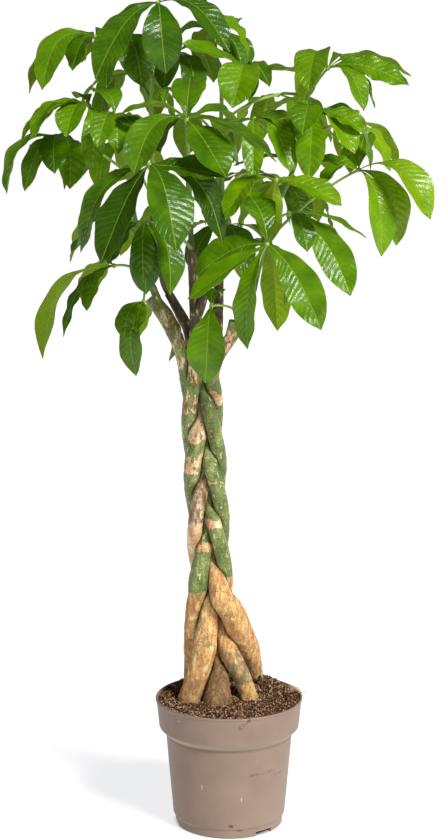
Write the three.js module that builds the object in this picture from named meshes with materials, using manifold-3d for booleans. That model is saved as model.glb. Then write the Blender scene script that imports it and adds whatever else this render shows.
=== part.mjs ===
// A money tree in a plastic nursery pot: five woody stems braided together, each with a leafy
// shoot of palmate leaves. Millimetres, +Z up. The origin is under the middle of the pot, on the
// surface that it stands on, and the front of the plant faces -Y.
import * as THREE from "three";
import { mergeVertices } from "three/addons/utils/BufferGeometryUtils.js";
import Module from "manifold-3d";

const wasm = await Module();
wasm.setup();

// ---- Driving dimensions, in millimetres ----

const CLEARANCE = 0.3; // between solids that touch on the real plant
const FINEST = 0.01; // edges shorter than this are closed up

// The pot is spun from two half outlines: radius and height of each corner.
const POT = {
  sides: 36,
  outside: [
    [76.4, 0], // foot
    [77.2, 12],
    [80, 15], // body
    [90.2, 133],
    [93.6, 137.4], // slope under the band
    [99.7, 143], // band
    [103.6, 181],
    [104.6, 181.8], // lip
    [105, 183.2],
    [104.4, 184.6],
    [103, 185],
  ],
  inside: [
    [73.5, 11], // floor
    [77.6, 15], // body
    [87.8, 134.5],
    [97.2, 145.4], // band
    [101, 182],
    [101.6, 184.6], // lip
  ],
};

const DRAIN = {
  count: 3,
  firstAngle: -50, // degrees from +X, so that one notch shows at the front right
  width: 28,
  height: 6.5,
  innerRadius: 46,
  outerRadius: 105,
  holeRadius: 6,
  holeAt: 62, // distance of each hole from the middle
  holeSides: 12,
};

const SOIL = {
  level: 182,
  radius: 100.2, // of the open top
  rings: 4,
  lump: 1.1, // height of the lumps
  heaps: [
    { x: 0, y: 25, height: 7, reach: 55 }, // round the stems
    { x: 48, y: 66, height: 9, reach: 34 }, // behind them
    { x: -48, y: 66, height: 9, reach: 34 },
    { x: 88, y: 6, height: 9, reach: 11 }, // a clump against the lip at the right
  ],
  calm: 0.25, // share of the unevenness that is left at the rim
  border: 8, // width over which it fades
};

const HOLE = { wider: 0.48, deeper: 1 }; // of the soil, than the stem's foot

// The strands of the braid run round a figure of eight, each a fifth of a turn after the last.
const BRAID = {
  strands: 5,
  pitch: 415, // height of one whole turn
  firstCrossing: 634, // height at which the first strand crosses the middle in front
  top: 650,
  bottom: 335,
  widthAtBottom: 21, // half the width between the strands' middles
  widthAtTop: 19,
  depth: 18, // half the depth between the strands' middles
  axisX: -24.5, // where the middle of the braid is at its bottom
  lean: 0.05, // and how far it leans to -X for each millimetre up
  radius: 9.6,
  steps: 14,
  sides: 8,
};

const LEAFLET = {
  thickness: 1.8, // at the midrib, running out to the edges
  fold: 0.22, // how far the edges stand over the midrib, in half widths
  wave: 1.6, // how far the edges wave
  root: 1.2, // half width at the hub
  lead: 0.8, // below 1 the arch is highest before the middle
};

// An even leaf: leaflets each side of the middle one, degrees between them and down from level,
// with how much shorter and steeper each next one is. Rise and width are shares of the length.
const FAN = {
  each: 2,
  spread: 55,
  dip: 34,
  steeper: 7,
  shorter: 0.09,
  rise: 0.22,
  width: 0.36,
};

const PETIOLE = { base: 2.2, end: 1.6, bow: 0.12, sides: 4, steps: 3 };
const HUB = { radius: 4.8, tilt: 0.6, turn: 0.25 }; // its corners lie off the leaflets' edges
const SHOOT = { sides: 6, collar: 8, startShare: 0.85, thicker: 0.3 };

const COLOURS = {
  pot: 0x9f8e80,
  soil: 0x3a281b,
  bark: 0x7d7a4c,
  leaf: 0x47811b,
};

// ---- Shapes ----

const radians = THREE.MathUtils.degToRad;
const lerp = THREE.MathUtils.lerp;
const vector = ([x, y, z]) => new THREE.Vector3(x, y, z);

// A closed geometry as a solid that can be joined and cut.
function solid(geometry) {
  const bare = geometry.clone();
  bare.deleteAttribute("normal");
  bare.deleteAttribute("uv");
  const merged = mergeVertices(bare, 1e-4);
  return new wasm.Manifold(new wasm.Mesh({
    numProp: 3,
    vertProperties: new Float32Array(merged.getAttribute("position").array),
    triVerts: new Uint32Array(merged.index.array),
  }));
}

function join(solids) {
  return solids.reduce((whole, piece) => whole.add(piece));
}

// The largest body of a solid as a geometry: loose scraps go, and sealed hollows are filled.
function bodyOf(whole) {
  const bodies = whole.decompose().sort((a, b) => b.volume() - a.volume());
  const mesh = bodies[0].simplify(FINEST).getMesh();
  const geometry = new THREE.BufferGeometry();
  geometry.setAttribute("position", new THREE.BufferAttribute(mesh.vertProperties, 3));
  geometry.setIndex(new THREE.BufferAttribute(mesh.triVerts, 1));
  geometry.computeVertexNormals();
  return geometry;
}

// A round solid through a list of points, with a radius at each one and flat ends.
function swept(points, radii, sides) {
  const steps = points.length - 1;
  const curve = new THREE.CatmullRomCurve3(points);
  const tangents = points.map((_, i) => curve.getTangent(i / steps));
  const normals = [];
  let normal = new THREE.Vector3(1, 0, 0);
  if (Math.abs(tangents[0].x) > 0.9) normal.set(0, 1, 0);
  for (const tangent of tangents) {
    normal = normal.clone().addScaledVector(tangent, -normal.dot(tangent)).normalize();
    normals.push(normal);
  }
  const geometry = new THREE.CylinderGeometry(1, 1, steps, sides, steps);
  const position = geometry.getAttribute("position");
  for (let i = 0; i < position.count; i += 1) {
    const step = Math.round(position.getY(i) + steps / 2);
    const binormal = normals[step].clone().cross(tangents[step]);
    const place = points[step].clone();
    place.addScaledVector(normals[step], position.getX(i) * radii[step]);
    place.addScaledVector(binormal, position.getZ(i) * radii[step]);
    position.setXYZ(i, place.x, place.y, place.z);
  }
  return geometry;
}

// ---- Pot and soil ----

function potGeometry() {
  const corners = [[0, 0], ...POT.outside, ...POT.inside.toReversed(), [0, POT.inside[0][1]]];
  const outline = corners.map(([radius, height]) => new THREE.Vector2(radius, height));
  let pot = solid(new THREE.LatheGeometry(outline, POT.sides).rotateX(Math.PI / 2));
  for (let i = 0; i < DRAIN.count; i += 1) {
    const angle = radians(DRAIN.firstAngle + (i * 360) / DRAIN.count);
    const length = DRAIN.outerRadius - DRAIN.innerRadius;
    const groove = new THREE.BoxGeometry(length, DRAIN.width, 2 * DRAIN.height);
    groove.translate(DRAIN.innerRadius + length / 2, 0, 0);
    const depth = 4 * POT.inside[0][1];
    const { holeRadius, holeSides } = DRAIN;
    const hole = new THREE.CylinderGeometry(holeRadius, holeRadius, depth, holeSides);
    hole.rotateX(Math.PI / 2).translate(DRAIN.holeAt, 0, 0);
    pot = pot.subtract(solid(groove.rotateZ(angle)));
    pot = pot.subtract(solid(hole.rotateZ(angle)));
  }
  return bodyOf(pot);
}

// A smooth hump at a place.
function hump({ x, y, height, reach }, atX, atY) {
  return height * Math.exp(-((atX - x) ** 2 + (atY - y) ** 2) / reach ** 2);
}

// How far the soil stands over its level at a place.
function soilHeight(x, y) {
  const lumps = Math.sin(x * 0.19 + 1) * Math.cos(y * 0.23) + Math.sin(x * 0.41 - y * 0.33);
  return SOIL.heaps.reduce((height, heap) => height + hump(heap, x, y), SOIL.lump * lumps);
}

// The soil fills the pot's inside, clear of its wall.
function soilGeometry(stems) {
  const outline = [[0, POT.inside[0][1] + CLEARANCE]];
  for (const [radius, height] of POT.inside.filter((corner) => corner[1] < SOIL.level)) {
    outline.push([radius - 1.5 * CLEARANCE, height + CLEARANCE]);
  }
  for (let ring = SOIL.rings; ring >= 0; ring -= 1) {
    outline.push([(SOIL.radius * ring) / SOIL.rings, SOIL.level]);
  }
  const points = outline.map(([radius, height]) => new THREE.Vector2(radius, height));
  const geometry = new THREE.LatheGeometry(points, POT.sides).rotateX(Math.PI / 2);
  const position = geometry.getAttribute("position");
  for (let i = 0; i < position.count; i += 1) {
    const x = position.getX(i);
    const y = position.getY(i);
    if (position.getZ(i) >= SOIL.level) {
      const inwards = Math.min(1, (SOIL.radius - Math.hypot(x, y)) / SOIL.border);
      const share = Math.max(inwards, SOIL.calm);
      position.setZ(i, SOIL.level + soilHeight(x, y) * share);
    }
  }
  return bodyOf(stems.reduce((soil, stem) => soil.subtract(stem), solid(geometry)));
}

// ---- Woody stems ----

// Each stem from its foot in the soil to the top of its wood: x, y, z and radius. The braid
// comes between the foot and the crown, and a swelling adds to its radius there: height, extra
// radius and reach. A fork is a side branch of the same wood.
const STEMS = {
  a: {
    foot: [[-57, 48, 88, 9], [-55, 46, 140, 12], [-54, 44, 178, 12], [-53, 34, 215, 12],
      [-52, 22, 250, 12], [-51, 12, 285, 12], [-49, 3, 312, 11.8]],
    swellings: [[352, 3.4, 32]],
    crown: [[-50, 15, 680, 8.4], [-56, 17, 708, 7.4], [-69, 15, 734, 6.4], [-84, 12, 761, 5.4]],
    forks: [],
  },
  b: {
    foot: [[-60, -13, 88, 10], [-58, -14, 140, 15.5], [-57, -14, 178, 16.5],
      [-46, -13, 215, 15.9], [-37, -12, 250, 16.6], [-31, -9, 285, 14.4], [-28, -6, 312, 11.4]],
    swellings: [],
    crown: [[-66, -2, 680, 8.6], [-75, -3, 705, 9.4], [-90, -4, 734, 10.2], [-108, -5, 757, 9.4]],
    forks: [[[-84, -3, 722, 5], [-98, 12, 750, 5], [-110, 23, 776, 4.6]]],
  },
  c: {
    foot: [[-18, -24, 88, 12], [-18, -24, 150, 20.5], [-17.5, -24, 178, 21.5],
      [-15.5, -18, 203, 17], [-14, -8, 218, 13.8], [-15, 10, 245, 9.8], [-6, 31, 280, 9],
      [1, 28, 308, 9]],
    swellings: [],
    crown: [[-47, -12, 680, 8.4], [-46, -11, 722, 7.6], [-48, -9, 770, 6.6], [-51, -8, 820, 5.6]],
    forks: [[[-46, -11, 726, 5.4], [-38, -20, 748, 5.2], [-33, -25, 766, 5]]],
  },
  d: {
    foot: [[38, 61, 88, 9], [38, 61, 140, 11], [38.5, 59, 182, 11.8], [35.5, 41, 215, 12.6],
      [27.5, 19, 250, 15.5], [14, 0, 285, 17.2], [4, -9, 312, 17.2]],
    swellings: [[318, 7.4, 38], [560, 2, 60]],
    crown: [[-20, 25, 680, 8.2], [-17, 35, 712, 7.4], [-15, 45, 750, 6.6], [-14, 51, 790, 5.6]],
    forks: [],
  },
  e: {
    foot: [[44, -8, 88, 8], [38.5, -9, 140, 10.8], [31.5, -10, 178, 11.4], [18, -8, 215, 13],
      [1, -6, 250, 13.2], [-7, 4, 272, 10.8], [-13, 14, 290, 9.6], [-25, 19, 312, 9.2]],
    swellings: [],
    crown: [[-14, -18, 680, 8.6], [3, -19, 704, 7.8], [19, -18, 730, 6.8]],
    forks: [[[-4, -19, 692, 5.4], [2, -27, 714, 5], [5, -31, 728, 4.6]]],
  },
};

// The place and radius of a stem at a height of the braid.
function braided(name, height) {
  const b = BRAID;
  const order = Object.keys(STEMS).indexOf(name);
  const crossing = b.firstCrossing - (order * b.pitch) / b.strands;
  const turn = (2 * Math.PI * (crossing - height)) / b.pitch;
  const up = (height - b.bottom) / (b.top - b.bottom);
  const x = b.axisX - b.lean * (height - b.bottom);
  const width = lerp(b.widthAtBottom, b.widthAtTop, up);
  let radius = b.radius;
  for (const [middle, extra, reach] of STEMS[name].swellings) {
    radius += extra * Math.exp(-(((height - middle) / reach) ** 2));
  }
  return [x + width * Math.sin(turn), -b.depth * Math.sin(2 * turn), height, radius];
}

// Every ring of a stem, from foot to crown.
function stemRings(name) {
  const rings = [...STEMS[name].foot];
  for (let step = 0; step <= BRAID.steps; step += 1) {
    rings.push(braided(name, lerp(BRAID.bottom, BRAID.top, step / BRAID.steps)));
  }
  return rings.concat(STEMS[name].crown);
}

function wood(rings, extra = 0) {
  return solid(swept(rings.map(vector), rings.map((ring) => ring[3] + extra), BRAID.sides));
}

function wholeStem(name, extra = 0) {
  const pieces = [stemRings(name), ...STEMS[name].forks];
  return join(pieces.map((rings) => wood(rings, extra)));
}

// The stems press into each other where they cross: each gives way to those before it.
function stemGeometry(name) {
  const before = Object.keys(STEMS).slice(0, Object.keys(STEMS).indexOf(name));
  const cut = (stem, other) => stem.subtract(wholeStem(other, CLEARANCE));
  return bodyOf(before.reduce(cut, wholeStem(name)));
}

// The hole that a stem stands in, a little wider and deeper than its foot.
function stemHole(name) {
  const rings = stemRings(name).filter((ring) => ring[2] < 1.5 * SOIL.level);
  const [first, second] = rings.map(vector);
  const end = first.clone().addScaledVector(first.clone().sub(second).normalize(), HOLE.deeper);
  return wood([[end.x, end.y, end.z, rings[0][3]], ...rings], HOLE.wider);
}

// ---- Leaves ----

// Stations of a leaflet from hub to tip: share of its length, and of its half width.
const STATIONS = [[0, 0], [0.24, 0.46], [0.6, 1], [0.84, 0.8], [1, 0]];

// A leaflet arches from the hub to its tip. A row holds the tip as dx, dy, dz from the hub, how
// far the arch stands off the straight line, the width, and where it isn't zero, the degrees
// that the upper face turns towards the front.
function leafletGeometry(hub, [dx, dy, dz, rise, width, turn = 0]) {
  const reach = Math.hypot(dx, dy);
  const length = Math.hypot(reach, dz);
  const lift = new THREE.Vector3((-dz * dx) / reach, (-dz * dy) / reach, reach);
  lift.divideScalar(length);
  const level = new THREE.Vector3(dy / reach, -dx / reach, 0);
  const roll = radians(dx > 0 ? turn : -turn);
  const rib = (s) => new THREE.Vector3(dx, dy, dz).multiplyScalar(s).add(hub)
    .addScaledVector(lift, rise * Math.sin(Math.PI * s ** LEAFLET.lead));
  const points = [];
  STATIONS.slice(0, -1).forEach(([s, share], i) => {
    const middle = rib(s);
    const along = rib(s + 0.02).sub(rib(Math.max(s - 0.02, 0))).normalize();
    const across = level.clone().applyAxisAngle(along, roll);
    const up = across.clone().cross(along);
    const half = Math.max(share * width / 2, LEAFLET.root);
    const thick = LEAFLET.thickness / 2;
    const wave = LEAFLET.wave * share * (i % 2 ? 1 : -1);
    points.push(middle.clone().addScaledVector(across, -half)
      .addScaledVector(up, half * LEAFLET.fold + wave));
    points.push(middle.clone().addScaledVector(up, thick));
    points.push(middle.clone().addScaledVector(across, half)
      .addScaledVector(up, half * LEAFLET.fold - wave));
    points.push(middle.clone().addScaledVector(up, -thick));
  });
  points.push(rib(1));
  const tip = points.length - 1;
  const faces = [0, 2, 1, 0, 3, 2];
  for (let base = 0; base < tip; base += 4) {
    const next = base + 4;
    // Left and right halves are split alike on the upper and on the lower face.
    for (const [edge, ridge] of [[0, 1], [2, 1], [2, 3], [0, 3]]) {
      const e = base + edge;
      const r = base + ridge;
      const turned = (edge === 0) === (ridge === 3);
      const triangles = next < tip ? [[e, r, r + 4], [e, r + 4, e + 4]] : [[e, r, tip]];
      for (const [i, j, k] of triangles) faces.push(...(turned ? [i, k, j] : [i, j, k]));
    }
  }
  const geometry = new THREE.BufferGeometry().setFromPoints(points);
  geometry.setIndex(faces);
  return geometry;
}

// The leaflets of an even leaf round its heading in degrees.
function fan(heading, size) {
  const rows = [];
  for (let side = -FAN.each; side <= FAN.each; side += 1) {
    const angle = radians(heading + side * FAN.spread);
    const length = size * (1 - FAN.shorter * Math.abs(side));
    const dip = radians(FAN.dip + FAN.steeper * Math.abs(side));
    const level = length * Math.cos(dip);
    const row = [level * Math.cos(angle), level * Math.sin(angle), -length * Math.sin(dip)];
    rows.push([...row, FAN.rise * length, FAN.width * length]);
  }
  return rows;
}

// The leafy shoots. path holds x, y, z and radius from the end of the wood. Each leaf has the
// share of the path where its petiole leaves, its hub, and its leaflets' rows.
const SHOOTS = {
  a: {
    path: [[-96, 20, 830, 4], [-104, 18, 920, 3.4], [-106, 4, 1025, 2.8],
      [-101, -4, 1085, 2.2]],
    leaves: [
      { from: 1, hub: [-95, -40, 1152], leaflets: [
        [12, -55, -92, 25, 50], [-80, -55, -99, 20, 46, 25], [95, -45, -64, 26, 44, 25],
        [-72, 60, -62, 18, 40], [64, 72, -22, 25, 42]] },
      { from: 0.95, hub: [-145, 15, 1110], leaflets: [
        [38, -50, -35, 12, 26], [30, -65, -68, 25, 50], [-18, -55, -68, 20, 36],
        [-55, -5, -35, 10, 34], [-20, 75, -30, 20, 38]] },
      { from: 0.9, hub: [-180, -10, 1108], leaflets: [
        [-68, -50, -69, 32, 42, 25], [-92, 22, -74, 28, 36], [-28, -45, -44, 15, 36],
        [-35, 80, -40, 22, 36], [30, 70, -20, 20, 36]] },
      { from: 0.6, hub: [-150, -110, 1007], leaflets: [
        [-30, 45, 30, 14, 40], [-18, -75, -39, 18, 30], [35, -60, -20, 6, 34],
        [8, -65, -48, 18, 32], [45, 45, -15, 4, 34]] },
      { from: 0.8, hub: [-140, 110, 1060], leaflets: fan(120, 112) },
      { from: 0.5, hub: [-155, 115, 968], leaflets: fan(135, 116) },
    ],
  },
  b: {
    onFork: true,
    path: [[-124, 28, 830, 3.4], [-134, 20, 890, 3], [-142, 6, 950, 2.4]],
    leaves: [
      { from: 1, hub: [-185, -70, 1018], leaflets: [
        [-75, -42, -43, 24, 36], [-92, 5, -46, 22, 34], [-20, 45, 10, 10, 26],
        [-50, -62, -8, 8, 28], [-25, -72, -38, 18, 38], [6, -55, -83, 22, 30]] },
      { from: 0.9, hub: [-226, -20, 976], leaflets: [
        [-74, -15, -75, 30, 38, 15], [-45, -62, -69, 21, 34], [-3, -85, -45, 20, 36],
        [15, -65, -66, 22, 36], [-45, 75, -30, 6, 36]] },
      { from: 0.24, hub: [-155, -60, 806], leaflets: [
        [-101, 35, -131, 38, 42, -12], [-35, -40, -56, 12, 32], [-66, -42, -91, 22, 18],
        [-48, 75, -60, 22, 38]] },
      { from: 0.16, hub: [-114, -100, 762], leaflets: [
        [-24, -30, -46, 14, 30], [-10, -15, -97, 20, 34], [-9, -30, -36, 8, 24]] },
      { from: 0.3, hub: [-98, 50, 745], leaflets: [
        [14, -6, -84, 12, 38], [-30, 35, -55, 12, 32]] },
      { from: 0.5, hub: [-158, 108, 860], leaflets: fan(145, 104) },
    ],
  },
  c: {
    path: [[-55, -4, 900, 4], [-57, 0, 980, 3.2], [-57, 0, 1046, 2.4]],
    leaves: [
      { from: 0.8, hub: [-55, -150, 1001], leaflets: [
        [4, 62, 54, 12, 44], [-86, -20, 8, 15, 36], [-65, -70, -65, 28, 44, 20],
        [50, -75, -68, 8, 54, 10], [114, -45, -51, 18, 40, 12], [66, 30, -44, 34, 50, 20]] },
      { from: 0.35, hub: [-102, -190, 946], leaflets: [
        [97, -30, -14, 3, 42, 30], [36, -75, -103, 28, 60], [-60, -50, -121, 11, 50, 15],
        [-88, -5, -110, 26, 42, 25], [-45, 65, -25, 6, 30], [93, 10, -100, 30, 40, 55]] },
      { from: 0.1, hub: [-109, -150, 872], leaflets: [
        [-1, -50, -74, 20, 30], [-46, -40, -52, 14, 36], [1, -15, -93, 20, 38],
        [33, -50, -90, 25, 38]] },
      { from: 1, hub: [-72, 60, 1088], leaflets: [
        [-70, -20, -30, 20, 38], [-17, -65, -50, 20, 34], [25, -60, -60, 15, 36],
        [-30, 80, -40, 25, 40], [50, 70, -40, 25, 40]] },
      { from: 0.97, hub: [-84, -16, 1040], leaflets: fan(-100, 30) },
    ],
  },
  d: {
    path: [[-10, 66, 870, 4.2], [-12, 80, 960, 3.4], [-10, 70, 1040, 2.6]],
    leaves: [
      { from: 1, hub: [24, 30, 1070], leaflets: [
        [-57, 25, 76, 20, 40], [-88, -20, 30, 2, 38, 20], [-20, -75, -55, 22, 54],
        [2, -40, -46, 15, 28], [68, -40, -5, -2, 36], [30, -62, -27, 15, 24],
        [75, 60, -8, 2, 34]] },
      { from: 0.95, hub: [-20, 105, 1110], leaflets: [
        [38, -60, -45, 18, 46], [33, 42, 22, 12, 44], [-60, 0, 0, 15, 36],
        [-20, 90, -40, 25, 42]] },
      { from: 0.15, hub: [-5, 45, 852], leaflets: [
        [-45, -35, -60, 18, 40], [27, -60, -60, 18, 40], [70, -20, -50, 20, 40],
        [-80, 40, -45, 20, 40]] },
      { from: 0.85, hub: [70, 160, 1030], leaflets: fan(50, 112) },
      { from: 0.75, hub: [-50, 200, 1000], leaflets: fan(100, 118) },
      { from: 0.55, hub: [30, 225, 915], leaflets: fan(85, 122) },
      { from: 0.4, hub: [-55, 205, 880], leaflets: fan(105, 118) },
      { from: 0.3, hub: [75, 170, 905], leaflets: fan(50, 112) },
      { from: 0.1, hub: [20, 160, 820], leaflets: fan(90, 118) },
    ],
  },
  e: {
    path: [[40, -10, 800, 4.6], [61, 0, 877, 4], [84, 0, 923, 3.4],
      [95, 0, 961, 2.8], [102, 0, 1021, 2.2]],
    leaves: [
      { from: 1, hub: [132, -20, 1067], leaflets: [
        [-30, -100, -30, 35, 46], [50, 72, -13, 24, 40], [106, -32, -22, 13, 36, 50],
        [115, 32, -10, 22, 34], [44, -72, -55, 20, 34], [62, -25, -52, 20, 32],
        [-30, 55, -45, 20, 40]] },
      { from: 0.9, hub: [110, -70, 1008], leaflets: [
        [-17, -82, -25, 22, 38], [-7, -55, -84, 20, 38], [65, -45, -24, 12, 38, 20],
        [52, -60, -50, 16, 38], [80, 30, -75, 36, 44, 30], [-60, 45, -5, 20, 38]] },
      { from: 0.75, hub: [33, -60, 1001], leaflets: [
        [52, -30, -25, 14, 32, 20], [46, -60, -67, 20, 40], [-2, -70, -79, 22, 28],
        [-62, 30, -40, 8, 38]] },
      { from: 0.42, hub: [78, -120, 880], leaflets: [
        [78, -50, -102, 13, 44, 45], [100, -20, -30, 11, 30], [74, 42, -50, 8, 38],
        [22, -50, -46, 18, 32]] },
      { from: 0.5, hub: [60, -150, 925], leaflets: [
        [82, -40, -30, 9, 38, 30], [-66, -40, -48, 22, 38, 10], [-8, 25, -84, 14, 36],
        [28, 70, -12, 6, 30]] },
      { from: 0.4, hub: [175, -20, 932], leaflets: [
        [28, -55, -112, 25, 42], [50, -25, -100, 28, 36, 35], [92, -60, -62, 34, 50, 12],
        [12, 52, 48, 12, 34], [-52, -30, -20, 15, 32]] },
      { from: 0.7, hub: [92, -55, 952], leaflets: [
        [75, -25, -16, 3, 34, 15], [40, 60, -20, 10, 28], [-86, -20, -12, 6, 26, 10]] },
      { from: 0.25, hub: [48, -170, 844], leaflets: [
        [-102, -25, -68, 3, 42, 12], [-92, 30, -44, 12, 50, 45], [-27, 55, 65, 15, 48],
        [-25, -20, -133, 14, 42], [15, 35, -116, 20, 46], [22, -8, -80, 12, 24],
        [68, -50, -104, 12, 46, 45]] },
      { from: 0.06, hub: [-24, -105, 757], leaflets: [
        [-8, -35, -98, 20, 50], [8, 48, 16, 10, 30]] },
      { from: 0.85, hub: [160, 70, 990], leaflets: fan(25, 105) },
    ],
  },
};

// A petiole bows upwards from the shoot to the hub, a small knob that bears the leaflets.
function petioleGeometry(start, hub) {
  const middle = start.clone().lerp(hub, 0.5);
  middle.z += PETIOLE.bow * start.distanceTo(hub);
  const points = new THREE.QuadraticBezierCurve3(start, middle, hub).getPoints(PETIOLE.steps);
  const radii = points.map((_, i) => lerp(PETIOLE.base, PETIOLE.end, i / PETIOLE.steps));
  return swept(points, radii, PETIOLE.sides);
}

function leafSolid(start, { hub, leaflets }) {
  const middle = vector(hub);
  const knob = new THREE.OctahedronGeometry(HUB.radius).rotateX(HUB.tilt).rotateZ(HUB.turn);
  knob.translate(...hub);
  const blades = leaflets.map((row) => leafletGeometry(middle, row));
  return join([knob, petioleGeometry(start, middle), ...blades].map(solid));
}

// The point at a share of the way along a list of points.
function pointAlong(points, share) {
  const place = share * (points.length - 1);
  const before = Math.min(Math.floor(place), points.length - 2);
  return points[before].clone().lerp(points[before + 1], place - before);
}

// A shoot starts face to face with the end of the wood that bears it.
function shootGeometry(name) {
  const { onFork, path, leaves } = SHOOTS[name];
  const bearer = onFork ? STEMS[name].forks[0] : stemRings(name);
  const end = new THREE.CatmullRomCurve3(bearer.map(vector));
  const ahead = end.getTangent(1);
  const start = end.getPoint(1).addScaledVector(ahead, CLEARANCE);
  const collar = start.clone().addScaledVector(ahead, SHOOT.collar);
  const points = [start, collar, ...path.map(vector)];
  const radii = path.map((ring) => ring[3]);
  radii.unshift(SHOOT.startShare * bearer.at(-1)[3], radii[0] + SHOOT.thicker);
  const pieces = leaves.map((leaf) => leafSolid(pointAlong(points, leaf.from), leaf));
  return bodyOf(join([solid(swept(points, radii, SHOOT.sides)), ...pieces]));
}

// ---- The part ----

const part = new THREE.Group();

function add(name, geometry, colour, roughness) {
  const material = new THREE.MeshStandardMaterial({ color: colour, roughness, metalness: 0 });
  const mesh = new THREE.Mesh(geometry, material);
  mesh.name = name;
  part.add(mesh);
}

const names = Object.keys(STEMS);
add("pot", potGeometry(), COLOURS.pot, 0.55);
add("soil", soilGeometry(names.map(stemHole)), COLOURS.soil, 1);
for (const name of names) add(`stem_${name}`, stemGeometry(name), COLOURS.bark, 0.8);
for (const name of names) add(`leafy_shoot_${name}`, shootGeometry(name), COLOURS.leaf, 0.4);

export default part;
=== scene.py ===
"""The looks of a braided money tree in a nursery pot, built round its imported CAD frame.

The rows below repeat the part's own dimensions in millimetres; everything that is made from
them is in metres, in the same frame. The front of the plant faces -Y.
"""
import math
import random

import bpy
import numpy as np
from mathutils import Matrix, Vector, noise


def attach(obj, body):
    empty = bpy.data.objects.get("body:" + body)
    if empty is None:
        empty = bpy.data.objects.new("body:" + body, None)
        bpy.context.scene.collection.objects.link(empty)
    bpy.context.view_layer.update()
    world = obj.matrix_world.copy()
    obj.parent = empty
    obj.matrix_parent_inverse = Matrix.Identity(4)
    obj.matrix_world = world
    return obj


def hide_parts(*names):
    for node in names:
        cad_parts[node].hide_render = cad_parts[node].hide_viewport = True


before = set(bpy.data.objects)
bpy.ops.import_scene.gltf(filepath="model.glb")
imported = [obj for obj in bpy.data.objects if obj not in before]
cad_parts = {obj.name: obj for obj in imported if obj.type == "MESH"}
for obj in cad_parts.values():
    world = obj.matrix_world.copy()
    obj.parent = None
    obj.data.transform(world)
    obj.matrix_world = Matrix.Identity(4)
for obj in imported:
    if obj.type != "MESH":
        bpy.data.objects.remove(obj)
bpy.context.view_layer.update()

MM = 0.001
TAU = 2 * math.pi
WELD = 2e-6  # metres: points this near each other become one


# ---- Camera and light -------------------------------------------------------------------

# Places are in metres and angles in degrees, the lens and its sensor in millimetres. The
# surround's stops give its brightness by how far up it is seen.
CAMERA = {"place": (-0.00857, -2.671, 1.056), "tilt": 80, "lens": 83.44, "sensor": 36}
KEY_LIGHT = {"place": (1.75, -2.09, 2.29), "strength": 4.0, "spread": 16}
SURROUND = {"stops": [(0.045, 1.0), (0.14, 0.12)], "strength": 1.02}


def add_camera():
    """The photograph's view: 2.7 m away, 10 degrees down, the picture's long side upright."""
    bpy.ops.object.camera_add(
        location=CAMERA["place"], rotation=(math.radians(CAMERA["tilt"]), 0, 0))
    camera = bpy.context.object
    camera.data.sensor_width = CAMERA["sensor"]
    camera.data.lens = CAMERA["lens"]
    bpy.context.scene.camera = camera


add_camera()


# ---- Materials --------------------------------------------------------------------------

def linear(code):
    """An sRGB hex colour as linear red, green, blue and alpha."""
    shares = [int(code[i:i + 2], 16) / 255 for i in (1, 3, 5)]
    curve = [c / 12.92 if c <= 0.04045 else ((c + 0.055) / 1.055) ** 2.4 for c in shares]
    return (*curve, 1)


def node(tree, kind, inputs=None, stops=None, **settings):
    """Adds a node: its settings, its inputs as links, hex colours or numbers, and the stops of
    its ramp."""
    new = tree.nodes.new("ShaderNode" + kind)
    for name, value in settings.items():
        setattr(new, name, value)
    for name, value in (inputs or {}).items():
        if isinstance(value, bpy.types.Node):
            value = value.outputs[0]
        if isinstance(value, bpy.types.NodeSocket):
            tree.links.new(value, new.inputs[name])
        else:
            new.inputs[name].default_value = linear(value) if isinstance(value, str) else value
    for i, (place, colour) in enumerate(stops or []):
        if i >= len(new.color_ramp.elements):
            new.color_ramp.elements.new(1)
        new.color_ramp.elements[i].position = place
        tone = linear(colour) if isinstance(colour, str) else (colour, colour, colour, 1)
        new.color_ramp.elements[i].color = tone
    return new


def layered(tree, colour, layers):
    """Lays finishes over a colour in turn, each by how its pattern passes through its stops."""
    for finish, pattern, stops in layers:
        cover = node(tree, "ValToRGB", {"Fac": pattern}, stops) if stops else pattern
        colour = node(tree, "MixRGB", {"Fac": cover, "Color1": colour, "Color2": finish})
    return colour


def grain(size):
    """The Scale that makes a pattern's grain that many millimetres wide."""
    return 1 / (size * MM)


def light_studio():
    """A white surround that is dim overhead, and a broad key light at the front right."""
    world = bpy.data.worlds.new("white_studio")
    world.use_nodes = True
    tree = world.node_tree
    way = node(tree, "SeparateXYZ", {0: node(tree, "TexCoord").outputs["Generated"]})
    glow = node(tree, "ValToRGB", {"Fac": way.outputs["Z"]}, SURROUND["stops"])
    background = tree.nodes["Background"]
    background.inputs["Strength"].default_value = SURROUND["strength"]
    tree.links.new(glow.outputs[0], background.inputs["Color"])
    bpy.context.scene.world = world
    bpy.ops.object.light_add(type="SUN", location=KEY_LIGHT["place"])
    key = bpy.context.object
    key.name = "key_light"
    key.rotation_euler = Vector(KEY_LIGHT["place"]).to_track_quat("Z", "Y").to_euler()
    key.data.energy = KEY_LIGHT["strength"]
    key.data.angle = math.radians(KEY_LIGHT["spread"])
    bpy.context.scene.view_settings.view_transform = "Standard"


def new_material(name):
    """An empty material, its tree, and the place and painted tone that its patterns follow."""
    material = bpy.data.materials.new(name)
    material.use_nodes = True
    tree = material.node_tree
    tree.nodes.clear()
    place = node(tree, "TexCoord").outputs["Object"]
    tone = node(tree, "Attribute", attribute_name="tone").outputs["Fac"]
    return material, tree, place, tone


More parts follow.
